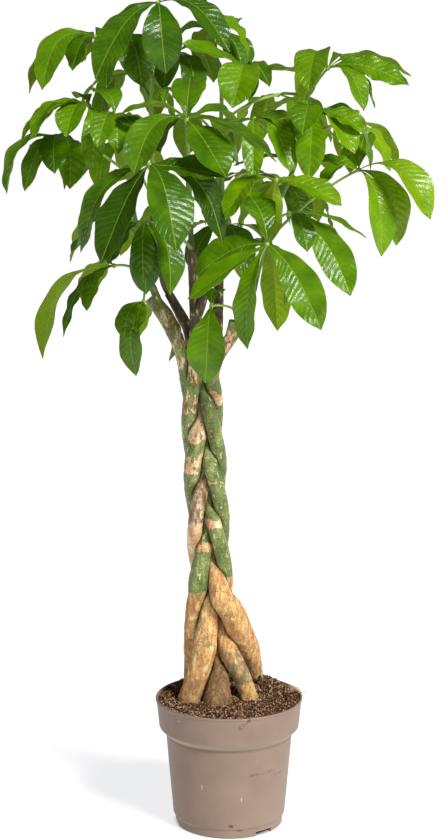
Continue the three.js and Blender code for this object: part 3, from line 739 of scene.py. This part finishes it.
# Each stem: foot and crown rings as x, y, z, radius; swellings of the braided length as
# height, extra radius, reach; and its forks.
STEMS = {
    "a": {
        "foot": [(-57, 48, 88, 9), (-55, 46, 140, 12), (-54, 44, 178, 12), (-53, 34, 215, 12),
                 (-52, 22, 250, 12), (-51, 12, 285, 12), (-49, 3, 312, 11.8)],
        "swellings": [(352, 3.4, 32)],
        "crown": [(-50, 15, 680, 8.4), (-56, 17, 708, 7.4), (-69, 15, 734, 6.4),
                  (-84, 12, 761, 5.4)],
        "forks": []},
    "b": {
        "foot": [(-60, -13, 88, 10), (-58, -14, 140, 15.5), (-57, -14, 178, 16.5),
                 (-46, -13, 215, 15.9), (-37, -12, 250, 16.6), (-31, -9, 285, 14.4),
                 (-28, -6, 312, 11.4)],
        "swellings": [],
        "crown": [(-66, -2, 680, 8.6), (-75, -3, 705, 9.4), (-90, -4, 734, 10.2),
                  (-108, -5, 757, 9.4)],
        "forks": [[(-84, -3, 722, 5), (-98, 12, 750, 5), (-110, 23, 776, 4.6)]]},
    "c": {
        "foot": [(-18, -24, 88, 12), (-18, -24, 150, 20.5), (-17.5, -24, 178, 21.5),
                 (-15.5, -18, 203, 17), (-14, -8, 218, 13.8), (-15, 10, 245, 9.8),
                 (-6, 31, 280, 9), (1, 28, 308, 9)],
        "swellings": [],
        "crown": [(-47, -12, 680, 8.4), (-46, -11, 722, 7.6), (-48, -9, 770, 6.6),
                  (-51, -8, 820, 5.6)],
        "forks": [[(-46, -11, 726, 5.4), (-38, -20, 748, 5.2), (-33, -25, 766, 5)]]},
    "d": {
        "foot": [(38, 61, 88, 9), (38, 61, 140, 11), (38.5, 59, 182, 11.8),
                 (35.5, 41, 215, 12.6), (27.5, 19, 250, 15.5), (14, 0, 285, 17.2),
                 (4, -9, 312, 17.2)],
        "swellings": [(318, 7.4, 38), (560, 2, 60)],
        "crown": [(-20, 25, 680, 8.2), (-17, 35, 712, 7.4), (-15, 45, 750, 6.6),
                  (-14, 51, 790, 5.6)],
        "forks": []},
    "e": {
        "foot": [(44, -8, 88, 8), (38.5, -9, 140, 10.8), (31.5, -10, 178, 11.4),
                 (18, -8, 215, 13), (1, -6, 250, 13.2), (-7, 4, 272, 10.8), (-13, 14, 290, 9.6),
                 (-25, 19, 312, 9.2)],
        "swellings": [],
        "crown": [(-14, -18, 680, 8.6), (3, -19, 704, 7.8), (19, -18, 730, 6.8)],
        "forks": [[(-4, -19, 692, 5.4), (2, -27, 714, 5), (5, -31, 728, 4.6)]]},
}

# Where a stem's green bark turns to ochre cork, and its patches of tan cork, of grey-green
# lichen and of dirt, as lowest and highest point and strength, in millimetres.
LEG_TOP = {"a": 342, "b": 338, "c": 361, "d": 398, "e": 300}
PATCHES = {
    "tan": {
        "a": [(400, 416, 0.5), (345, 357, 0.25), (560, 612, 0.3), (655, 668, 0.5),
              (690, 760, 0.25)],
        "b": [(497, 505, 0.5), (655, 676, 0.45), (684, 742, 0.38), (600, 612, 0.25)],
        "c": [(596, 624, 0.4), (640, 664, 0.42), (434, 449, 0.55), (374, 384, 0.3),
              (700, 715, 0.4)],
        "d": [(556, 616, 0.52), (512, 542, 0.46), (398, 420, 0.35), (640, 660, 0.3)],
        "e": [(606, 628, 0.55), (300, 520, 0.62), (680, 716, 0.42)]},
    "grey": {
        "a": [(188, 214, 0.3)], "b": [(182, 214, 0.3)], "c": [(180, 260, 0.1)],
        "d": [(176, 226, 0.38)], "e": [(205, 262, 0.42)]},
    "dirt": {
        "a": [(170, 200, 0.4)], "b": [(170, 222, 0.36), (700, 760, 0.3)],
        "c": [(160, 250, 0.47)], "d": [(176, 204, 0.4)],
        "e": [(170, 225, 0.3), (225, 300, 0.2), (440, 522, 0.46)]},
    "crown": {"a": [(690, 900, 0.65)], "b": [(700, 900, 0.4)], "c": [(670, 900, 0.75)],
              "d": [(680, 900, 0.6)], "e": [(700, 900, 0.35)]},
}
PATCH_EDGES = {"tan": 5, "grey": 14, "dirt": 14, "crown": 30}  # how far each one fades

# The bark's relief. Scars start higher and lie further apart on each next stem.
STEM_PRESS = 0.9  # how much wider than the plain strand a real one is, where they press
SCARS = {"lowest": 240, "higher": 17, "top": 800, "gap": 61, "wider": 3, "half": 1.8,
         "rise": 0.35}
COLLAR = {"height": 180, "half": 14, "flare": 0.9, "lumps": 2.2, "folds": 0.5}
SOFT_LUMPS = [(26.0, 0, 0.7), (9.0, 5, 0.45)]  # size, seed and height
FLAKES = {"size": 3.2, "drawn": (1, 1, 0.4), "rise": 0.6, "top": 330}
# Painted shade in the creases where stems touch: its strength, and how near and how far it fades,
# in millimetres.
CREASE_SHADE = {"depth": 0.9, "near": 1.2, "fade": 1.8}


def braided(name, height):
    """Place and radius of a strand of the braid at a height."""
    crossing = BRAID["crossing"] - list(STEMS).index(name) * BRAID["pitch"] / BRAID["strands"]
    turn = TAU * (crossing - height) / BRAID["pitch"]
    up = (height - BRAID["bottom"]) / (BRAID["top"] - BRAID["bottom"])
    axis = BRAID["axis"] - BRAID["lean"] * (height - BRAID["bottom"])
    wide = BRAID["wide_low"] + (BRAID["wide_high"] - BRAID["wide_low"]) * up
    radius = BRAID["radius"] + sum(
        extra * math.exp(-((height - middle) / reach) ** 2)
        for middle, extra, reach in STEMS[name]["swellings"])
    return (axis + wide * math.sin(turn), -BRAID["depth"] * math.sin(2 * turn), height, radius)


def bark_relief(seed):
    """What bark adds to a stem's radius: soft lumps, a raised scar every few centimetres,
    flakes on the legs, and a folded, flared collar at the soil."""
    levels = np.arange(SCARS["lowest"] + SCARS["higher"] * seed, SCARS["top"],
                       SCARS["gap"] + SCARS["wider"] * seed)

    def swell(places, _):
        height = places[:, 2]
        scars = sum(np.exp(-((height - level) / SCARS["half"]) ** 2) for level in levels)
        soft = sum(rise * lumps(places, size, seed + more) for size, more, rise in SOFT_LUMPS)
        flakes = lumps(places * FLAKES["drawn"], FLAKES["size"], seed + 2)
        folds = np.sin(height / 1.3 + 3 * lumps(places, 16.0, seed))
        collar = np.exp(-((height - COLLAR["height"]) / COLLAR["half"]) ** 2) * (
            COLLAR["flare"] + COLLAR["lumps"] * lumps(places, 11.0, seed + 9)
            + COLLAR["folds"] * folds)
        return (STEM_PRESS * (height > SCARS["lowest"]) + soft + SCARS["rise"] * scars
                + FLAKES["rise"] * flakes * (height < FLAKES["top"]) + collar)
    return swell


def band(heights, low, high, edge):
    """1 between two heights, fading over an edge."""
    rising = np.clip(0.5 + (heights - low) / edge, 0, 1)
    return rising * np.clip(0.5 + (high - heights) / edge, 0, 1)


def rings_of(name):
    """A stem's rings from foot to crown."""
    heights = np.linspace(BRAID["bottom"], BRAID["top"], BRAID["steps"] + 1)
    return [*STEMS[name]["foot"], *(braided(name, h) for h in heights), *STEMS[name]["crown"]]


def crease_shade(name, places):
    """How deep each point of a stem lies in the crease against a neighbouring stem, as the
    strength of the painted shade there.
    """
    nearest = np.full(len(places), np.inf)
    for other in STEMS:
        if other != name:
            for *middle, radius in spline(rings_of(other), 300):
                nearest = np.minimum(nearest, np.linalg.norm(places - middle, axis=1) - radius)
    away = np.maximum(nearest - CREASE_SHADE["near"], 0) / CREASE_SHADE["fade"]
    return CREASE_SHADE["depth"] * np.exp(-away ** 2)


def make_stems():
    """The five woody stems, each with its forks, painted with where each finish lies and with
    painted shade in the creases between them.
    """
    for seed, name in enumerate(STEMS):
        swell = bark_relief(seed)
        pieces = [tube("stem", rings_of(name), 28, 260, swell)]
        pieces += [tube("fork", fork, 18, 30, swell) for fork in STEMS[name]["forks"]]
        whole = joined(f"trunk_{name}", pieces)
        places = points_of(whole) / MM
        height = places[:, 2]
        ragged = height + 6 * lumps(places, 14.0, 3.0) + 2 * lumps(places, 5.0)
        paint(whole, "leg", band(height + 1.2 * lumps(places, 8.0), 0, LEG_TOP[name], 2.0))
        # Painted shade in the creases where the stems touch.
        paint(whole, "crease", crease_shade(name, places))
        for kind, edge in PATCH_EDGES.items():
            paint(whole, kind, sum(strength * band(ragged, low, high, edge)
                                   for low, high, strength in PATCHES[kind][name]))
        smooth_by_angle(whole, degrees=60)
        give(whole, BARK, "bark", f"stem_{name}")


# ---- Leafy shoots -----------------------------------------------------------------------

# An even leaf: its leaflets on each side of the middle one, how far they spread and dip in
# degrees, how much steeper and shorter each next one is, and its arch and width as shares.
FAN = {"each": 2, "spread": 55, "dip": 34, "steeper": 7, "shorter": 0.09, "rise": 0.22,
       "width": 0.36}


def fan(heading, size):
    """The leaflets of an even leaf round its heading in degrees."""
    rows = []
    for side in range(-FAN["each"], FAN["each"] + 1):
        angle = math.radians(heading + side * FAN["spread"])
        length = size * (1 - FAN["shorter"] * abs(side))
        dip = math.radians(FAN["dip"] + FAN["steeper"] * abs(side))
        level = length * math.cos(dip)
        rows.append((level * math.cos(angle), level * math.sin(angle), -length * math.sin(dip),
                     FAN["rise"] * length, FAN["width"] * length))
    return rows


# A shoot: its path as x, y, z, radius, then its leaves. A leaf: the share of the shoot's
# points where its petiole leaves, its hub, how pale it is, and its leaflets. A leaflet: its
# tip from the hub, how far it arches, its width, and how far it turns to the front.
SHOOTS = {
    "a": ([
        (-96, 20, 830, 4), (-104, 18, 920, 3.4), (-106, 4, 1025, 2.8), (-101, -4, 1085, 2.2)], [
        (1, (-95, -40, 1152), 0.35, [
            (12, -55, -92, 25, 50), (-80, -55, -99, 20, 46, 25), (95, -45, -64, 26, 44, 25),
            (-72, 60, -62, 18, 40), (64, 72, -22, 25, 42)]),
        (0.95, (-145, 15, 1110), 0.5, [
            (38, -50, -35, 12, 26), (30, -65, -68, 25, 50), (-18, -55, -68, 20, 36),
            (-55, -5, -35, 10, 34), (-20, 75, -30, 20, 38)]),
        (0.9, (-180, -10, 1108), 0.45, [
            (-68, -50, -69, 32, 42, 25), (-92, 22, -74, 28, 36), (-28, -45, -44, 15, 36),
            (-35, 80, -40, 22, 36), (30, 70, -20, 20, 36)]),
        (0.6, (-150, -110, 1007), 0.45, [
            (-30, 45, 30, 14, 40), (-18, -75, -39, 18, 30), (35, -60, -20, 6, 34),
            (8, -65, -48, 18, 32), (45, 45, -15, 4, 34)]),
        (0.8, (-140, 110, 1060), 0.5, fan(120, 112)),
        (0.5, (-155, 115, 968), 0.5, fan(135, 116)),
    ]),
    "b": ([(-124, 28, 830, 3.4), (-134, 20, 890, 3), (-142, 6, 950, 2.4)], [
        (1, (-185, -70, 1018), 0.5, [
            (-75, -42, -43, 24, 36), (-92, 5, -46, 22, 34), (-20, 45, 10, 10, 26),
            (-50, -62, -8, 8, 28), (-25, -72, -38, 18, 38), (6, -55, -83, 22, 30)]),
        (0.9, (-226, -20, 976), 0.45, [
            (-74, -15, -75, 30, 38, 15), (-45, -62, -69, 21, 34), (-3, -85, -45, 20, 36),
            (15, -65, -66, 22, 36), (-45, 75, -30, 6, 36)]),
        (0.24, (-155, -60, 806), 0.55, [
            (-101, 35, -131, 38, 42, -12), (-35, -40, -56, 12, 32), (-66, -42, -91, 22, 18),
            (-48, 75, -60, 22, 38)]),
        (0.16, (-114, -100, 762), 0.6, [
            (-24, -30, -46, 14, 30), (-10, -15, -97, 20, 34), (-9, -30, -36, 8, 24)]),
        (0.3, (-98, 50, 745), 0.7, [
            (14, -6, -84, 12, 38), (-30, 35, -55, 12, 32)]),
        (0.5, (-158, 108, 860), 0.5, fan(145, 104)),
    ]),
    "c": ([(-55, -4, 900, 4), (-57, 0, 980, 3.2), (-57, 0, 1046, 2.4)], [
        (0.8, (-55, -150, 1001), 0.4, [
            (4, 62, 54, 12, 44), (-86, -20, 8, 15, 36), (-65, -70, -65, 28, 44, 20),
            (50, -75, -68, 8, 54, 10), (114, -45, -51, 18, 40, 12), (66, 30, -44, 34, 50, 20)]),
        (0.35, (-102, -190, 946), 0.3, [
            (97, -30, -14, 3, 42, 30), (36, -75, -103, 28, 60), (-60, -50, -121, 11, 50, 15),
            (-88, -5, -110, 26, 42, 25), (-45, 65, -25, 6, 30), (93, 10, -100, 30, 40, 55)]),
        (0.1, (-109, -150, 872), 0.35, [
            (-1, -50, -74, 20, 30), (-46, -40, -52, 14, 36), (1, -15, -93, 20, 38),
            (33, -50, -90, 25, 38)]),
        (1, (-72, 60, 1088), 0.3, [
            (-70, -20, -30, 20, 38), (-17, -65, -50, 20, 34), (25, -60, -60, 15, 36),
            (-30, 80, -40, 25, 40), (50, 70, -40, 25, 40)]),
        (0.97, (-84, -16, 1040), 0.6, fan(-100, 30)),
    ]),
    "d": ([(-10, 66, 870, 4.2), (-12, 80, 960, 3.4), (-10, 70, 1040, 2.6)], [
        (1, (24, 30, 1070), 0.5, [
            (-57, 25, 76, 20, 40), (-88, -20, 30, 2, 38, 20), (-20, -75, -55, 22, 54),
            (2, -40, -46, 15, 28), (68, -40, -5, -2, 36), (30, -62, -27, 15, 24),
            (75, 60, -8, 2, 34)]),
        (0.95, (-20, 105, 1110), 0.3, [
            (38, -60, -45, 18, 46), (33, 42, 22, 12, 44), (-60, 0, 0, 15, 36),
            (-20, 90, -40, 25, 42)]),
        (0.15, (-5, 45, 852), 0.4, [
            (-45, -35, -60, 18, 40), (27, -60, -60, 18, 40), (70, -20, -50, 20, 40),
            (-80, 40, -45, 20, 40)]),
        (0.85, (70, 160, 1030), 0.45, fan(50, 112)),
        (0.75, (-50, 200, 1000), 0.5, fan(100, 118)),
        (0.55, (30, 225, 915), 0.5, fan(85, 122)),
        (0.4, (-55, 205, 880), 0.5, fan(105, 118)),
        (0.3, (75, 170, 905), 0.5, fan(50, 112)),
        (0.1, (20, 160, 820), 0.5, fan(90, 118)),
    ]),
    "e": ([
        (40, -10, 800, 4.6), (61, 0, 877, 4), (84, 0, 923, 3.4), (95, 0, 961, 2.8),
        (102, 0, 1021, 2.2)], [
        (1, (132, -20, 1067), 0.6, [
            (-30, -100, -30, 35, 46), (50, 72, -13, 24, 40), (106, -32, -22, 13, 36, 50),
            (115, 32, -10, 22, 34), (44, -72, -55, 20, 34), (62, -25, -52, 20, 32),
            (-30, 55, -45, 20, 40)]),
        (0.9, (110, -70, 1008), 0.6, [
            (-17, -82, -25, 22, 38), (-7, -55, -84, 20, 38), (65, -45, -24, 12, 38, 20),
            (52, -60, -50, 16, 38), (80, 30, -75, 36, 44, 30), (-60, 45, -5, 20, 38)]),
        (0.75, (33, -60, 1001), 0.6, [
            (52, -30, -25, 14, 32, 20), (46, -60, -67, 20, 40), (-2, -70, -79, 22, 28),
            (-62, 30, -40, 8, 38)]),
        (0.42, (78, -120, 880), 0.55, [
            (78, -50, -102, 13, 44, 45), (100, -20, -30, 11, 30), (74, 42, -50, 8, 38),
            (22, -50, -46, 18, 32)]),
        (0.5, (60, -150, 925), 0.65, [
            (82, -40, -30, 9, 38, 30), (-66, -40, -48, 22, 38, 10), (-8, 25, -84, 14, 36),
            (28, 70, -12, 6, 30)]),
        (0.4, (175, -20, 932), 0.64, [
            (28, -55, -112, 25, 42), (50, -25, -100, 28, 36, 35), (92, -60, -62, 34, 50, 12),
            (12, 52, 48, 12, 34), (-52, -30, -20, 15, 32)]),
        (0.7, (92, -55, 952), 0.6, [
            (75, -25, -16, 3, 34, 15), (40, 60, -20, 10, 28), (-86, -20, -12, 6, 26, 10)]),
        (0.25, (48, -170, 844), 0.56, [
            (-102, -25, -68, 3, 42, 12), (-92, 30, -44, 12, 50, 45), (-27, 55, 65, 15, 48),
            (-25, -20, -133, 14, 42), (15, 35, -116, 20, 46), (22, -8, -80, 12, 24),
            (68, -50, -104, 12, 46, 45)]),
        (0.06, (-24, -105, 757), 0.46, [
            (-8, -35, -98, 20, 50), (8, 48, 16, 10, 30)]),
        (0.85, (160, 70, 990), 0.75, fan(25, 105)),
    ]),
}


# A leaflet in millimetres, and shares of its length and width. A pair is a range that each
# leaflet draws from.
LEAF_COLUMNS = 12
LEAF_ROWS = 56
BLADE = {
    "thickness": 0.55, "rib": 0.7, "rib_half": 1.4, "fold": 0.22, "fold_share": (0.7, 1.3),
    "lead": 0.8, "sway": 0.05, "twist": 0.25, "columns": 1.25, "fuller": 1.05,
    "fullest": (1.3, 1.6), "blunt": (0.72, 0.88), "ends": (0.012, 0.995), "stalk": 1.1,
    "point": 0.3, "point_length": 0.05, "vein_gap": 8.5, "forward": 0.13, "quilt": 0.24,
    "crinkle": 0.5, "waves": (2.5, 4.2), "wave": (0.8, 2.2), "tilt": 2.5, "tone": 0.16}
PETIOLE = {"base": 2.2, "end": 1.6, "bow": 0.12, "rings": 14, "foot": 0.9, "foot_length": 0.06,
           "neck": 0.8, "neck_length": 0.05, "knob": 3.4, "pale_from": 90}
SHOOT = {"collar": 8, "share": 0.85, "thicker": 0.3, "clearance": 0.3, "lump": 0.25,
         "lump_size": 10.0, "green": 0.6, "green_from": 260}


def leaflet_model():
    """One flat leaflet, a unit long and wide: a grid given a thickness of one unit."""
    bpy.ops.mesh.primitive_grid_add(x_subdivisions=LEAF_COLUMNS, y_subdivisions=LEAF_ROWS, size=1)
    model = bpy.context.object
    skin = model.modifiers.new("skin", "SOLIDIFY")
    skin.thickness = 1
    skin.offset = -1
    bpy.ops.object.modifier_apply(modifier="skin")
    model.data.uv_layers.new(name="veins")
    for material in (LEAF_ABOVE, LEAF_BELOW):
        model.data.materials.append(material)
    for face in model.data.polygons:
        face.material_index = 0 if face.normal.z > 0.5 else 1
    return model


def leaflet_spine(s, hub, row, dice):
    """Points along a leaflet's midrib, and the directions across its blade and out of it."""
    dx, dy, dz, rise, _, turn = (*row, 0)[:6]
    tip = np.array([dx, dy, dz], float)
    length = np.linalg.norm(tip)
    reach = math.hypot(dx, dy)
    lift = np.array([-dz * dx, -dz * dy, reach * reach]) / (reach * length)
    level = np.array([dy, -dx, 0]) / reach
    sway = dice.uniform(-BLADE["sway"], BLADE["sway"]) * length

    def rib(s):
        s = np.maximum(s, 0)[:, None]
        arch = rise * np.sin(math.pi * s ** BLADE["lead"])
        return tip * s + lift * arch + level * sway * np.sin(math.pi * s) + hub

    along = unit(rib(s + 0.01) - rib(s - 0.01))
    twist = dice.uniform(-BLADE["twist"], BLADE["twist"])
    roll = math.radians(turn if dx > 0 else -turn) + twist * s
    side = np.cross(level, along)
    across = unit(level * np.cos(roll)[:, None] - side * np.sin(roll)[:, None])
    across = unit(across - along * np.sum(across * along, axis=1)[:, None])
    return rib(s), across, np.cross(across, along)


def half_width(s, width, dice):
    """Half a leaflet's width along it: fullest past the middle, with a stalk and a point."""
    fullest = dice.uniform(*BLADE["fullest"])
    blunt = dice.uniform(*BLADE["blunt"])
    share = np.sin(math.pi * np.clip(s, *BLADE["ends"]) ** fullest) ** blunt
    share = share * (1 - BLADE["point"] * np.exp(-((1 - s) / BLADE["point_length"]) ** 2))
    stalk = BLADE["stalk"] / (width / 2) * (1 - s) ** 6
    return width / 2 * BLADE["fuller"] * np.maximum(share, stalk)


def bend_leaflet(leaf, hub, row, tone, dice):
    """Gives a copied leaflet its own outline, arch, fold, waves and quilting. s runs along it
    from 0 to 1, and u across it from -1 to 1."""
    length = np.linalg.norm(row[:3])
    flat = points_of(leaf)
    s = flat[:, 1] + 0.5
    u = np.sign(flat[:, 0]) * np.abs(2 * flat[:, 0]) ** BLADE["columns"]
    below = flat[:, 2] < -0.5
    middle, across, up = leaflet_spine(s, hub, row, dice)
    half = half_width(s, row[4], dice)

    veins = max(6, round(length / BLADE["vein_gap"]))
    phase = veins * (s - BLADE["forward"] * np.abs(u) ** 1.2) + 0.5
    pillow = np.abs(np.sin(math.pi * (phase + 0.3 * lumps(flat * 100 + hub, 9.0)))) ** 0.7
    calm = np.clip(half / 9, 0, 1)
    waves = dice.uniform(*BLADE["waves"])
    start = [dice.uniform(0, TAU), dice.uniform(0, TAU)]
    swing = np.where(u > 0, np.sin(TAU * waves * s + start[0]), np.sin(TAU * waves * s + start[1]))
    height = half * (BLADE["fold"] * dice.uniform(*BLADE["fold_share"]) * np.abs(u))
    height += dice.uniform(*BLADE["wave"]) * calm * swing * np.abs(u) ** 2
    tilt = dice.uniform(-BLADE["tilt"], BLADE["tilt"])
    height += tilt * np.sin(TAU * s + dice.uniform(0, TAU)) * u ** 2 * calm
    height += BLADE["quilt"] * calm * pillow * np.clip(6 * np.abs(u), 0, 1) * (1 - u ** 6)
    cells = np.stack([u * half, s * length, np.full(len(s), hub[0])], 1)
    height += BLADE["crinkle"] * calm * (0.3 + s) * lumps(cells, 5.5)
    rib = BLADE["rib"] * (1 - 0.6 * s) * np.exp(-(u * half / BLADE["rib_half"]) ** 2)
    height = height - np.where(below, BLADE["thickness"] + rib, 0)

    move_points(leaf, middle + across * (u * half)[:, None] + up * height[:, None])
    paint(leaf, "tone", tone + dice.uniform(-BLADE["tone"], BLADE["tone"]))
    corner = np.empty(len(leaf.data.loops), int)
    leaf.data.loops.foreach_get("vertex_index", corner)
    plan = np.stack([np.abs(u) * half / 10, phase], 1)[corner]
    leaf.data.uv_layers["veins"].data.foreach_set("uv", plan.ravel())


def along_points(points, share):
    """The point at a share of the way along a list of points."""
    place = share * (len(points) - 1)
    before = min(int(place), len(points) - 2)
    return points[before] + (points[before + 1] - points[before]) * (place - before)


def wood_end(name, on_fork):
    """Where a stem's wood ends: the place, its direction and its radius."""
    rows = STEMS[name]["forks"][0] if on_fork else STEMS[name]["crown"]
    last = np.array(rows[-2:], float)
    return last[1, :3], unit(last[1, :3] - last[0, :3]), last[1, 3]


def make_petiole(begin, hub):
    """A leaf's stalk, bowed upwards and thicker at both ends, and the knob at its hub."""
    bow = (begin + hub) / 2 + np.array([0, 0, PETIOLE["bow"] * np.linalg.norm(hub - begin)])
    rows = []
    for t in np.linspace(0, 1, PETIOLE["rings"]):
        radius = (PETIOLE["base"] + (PETIOLE["end"] - PETIOLE["base"]) * t
                  + PETIOLE["foot"] * math.exp(-(t / PETIOLE["foot_length"]) ** 2)
                  + PETIOLE["neck"] * math.exp(-((1 - t) / PETIOLE["neck_length"]) ** 2))
        rows.append((*((1 - t) ** 2 * begin + 2 * t * (1 - t) * bow + t * t * hub), radius))
    stalk = tube("petiole", rows, sides=9, steps=30)
    out = np.linalg.norm(points_of(stalk) / MM - begin, axis=1)
    paint(stalk, "tone", 0.35 + 0.4 * np.clip(out / PETIOLE["pale_from"], 0, 1))
    bpy.ops.mesh.primitive_uv_sphere_add(
        segments=14, ring_count=9, radius=PETIOLE["knob"] * MM, location=hub * MM)
    knob = bpy.context.object
    deselect_all()
    knob.select_set(True)
    bpy.ops.object.transform_apply(location=True)
    paint(knob, "tone", 0.7)
    return [stalk, knob]


def make_shoot(name, model, dice):
    """A leafy shoot: its green stem, petioles, hubs and leaflets as one piece."""
    path, leaves = SHOOTS[name]
    end, ahead, radius = wood_end(name, on_fork=name == "b")
    start = end + ahead * SHOOT["clearance"]
    radii = [radius * SHOOT["share"], path[0][3] + SHOOT["thicker"], *(row[3] for row in path)]
    points = [start, start + ahead * SHOOT["collar"], *(np.array(row[:3], float) for row in path)]
    rows = [(*point, r) for point, r in zip(points, radii)]
    stem = tube("shoot", rows, 14, 90,
                lambda places, _: SHOOT["lump"] * lumps(places, SHOOT["lump_size"]))
    height = points_of(stem)[:, 2] / MM - points[0][2]
    paint(stem, "tone", SHOOT["green"] * np.clip(height / SHOOT["green_from"], 0, 1))
    pieces = [stem]
    for share, hub, tone, leaflets in leaves:
        hub = np.array(hub, float)
        pieces += make_petiole(along_points(points, share), hub)
        for row in leaflets:
            leaf = model.copy()
            leaf.data = model.data.copy()
            bpy.context.scene.collection.objects.link(leaf)
            bend_leaflet(leaf, hub, row, tone, dice)
            pieces.append(leaf)
    for piece in pieces:
        if not piece.data.materials:
            piece.data.materials.append(SHOOT_SKIN)
    shoot = joined(f"foliage_{name}", pieces)
    smooth_by_angle(shoot, degrees=62)
    give(shoot, None, "leaf", f"leafy_shoot_{name}")


def make_shoots():
    """The five leafy shoots, with all their leaflets copied from one model."""
    dice = random.Random(23)
    model = leaflet_model()
    for name in SHOOTS:
        make_shoot(name, model, dice)
    bpy.data.objects.remove(model)


# ---- The scene --------------------------------------------------------------------------

FLOOR_WIDTH = 14  # metres


def make_floor():
    """The light table that the pot stands on, which is no part of the object."""
    bpy.ops.mesh.primitive_plane_add(size=FLOOR_WIDTH, location=(0, 0, 0))
    floor = bpy.context.object
    floor.name = "studio_floor"
    floor.data.materials.append(LIGHT_TABLE)


deselect_all()
make_pot()
make_soil()
make_crumbs()
make_straw()
make_stems()
make_shoots()
make_floor()
